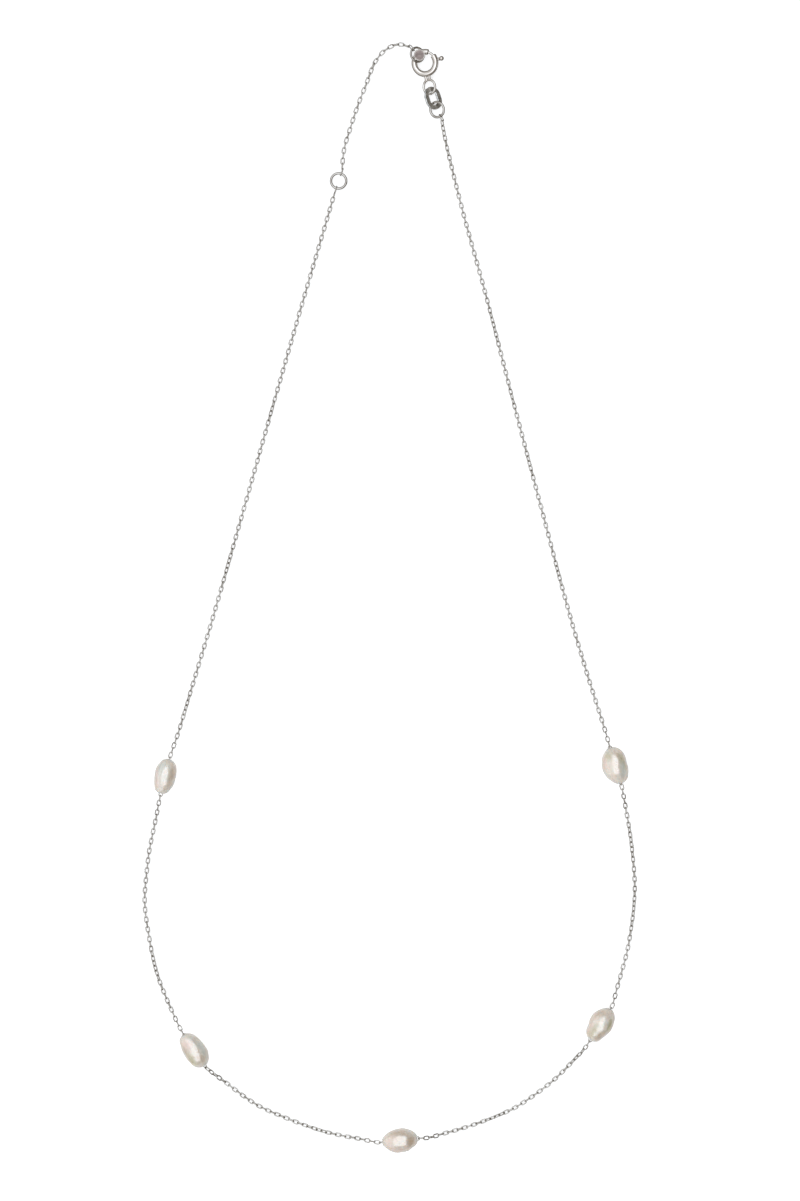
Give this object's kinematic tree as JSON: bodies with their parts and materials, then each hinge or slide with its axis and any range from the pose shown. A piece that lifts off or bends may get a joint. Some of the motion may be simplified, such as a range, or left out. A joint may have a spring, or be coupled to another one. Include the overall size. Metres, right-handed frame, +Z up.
{
  "type": "station necklace",
  "caption": "Fine cable-chain station necklace with baroque pearls, an adjuster ring and a spring ring clasp, fastened and lying flat.",
  "frame": {"origin": "middle of the laid-out necklace on the surface that it lies on", "axes": "+Y up the drop shape towards the clasp, +X to the right seen from above, +Z up from the surface"},
  "size_m": [0.0868, 0.1943, 0.0043],
  "materials": {
    "chain_silver": "bright rhodium-plated silver, fine wire links",
    "ring_silver": "polished rhodium-plated silver wire and plate",
    "clasp_silver": "polished rhodium-plated silver tube",
    "pearl": "nacre with a soft lustre, lightly bumped"
  },
  "bodies": {
    "necklace": {"chain_left": "chain_silver", "chain_right": "chain_silver", "chain_short": "chain_silver", "pearl_1": "pearl", "pearl_2": "pearl", "pearl_3": "pearl", "pearl_4": "pearl", "pearl_5": "pearl", "end_ring": "ring_silver", "adjuster_ring": "ring_silver", "jump_ring": "ring_silver", "tag_link": "ring_silver", "clasp_body": "clasp_silver"},
    "gate": {"clasp_gate": "clasp_silver"}
  },
  "joints": [
    {"name": "gate_slide", "type": "hinge", "parent": "necklace", "child": "gate", "pos_m": [0.0062, 0.0936, 0.00117], "axis": [-0.2765, -0.0952, 0.9563], "range_deg": [-33, 0], "stiffness_Nm_per_rad": 0.001, "springref_deg": 8.59}
  ]
}
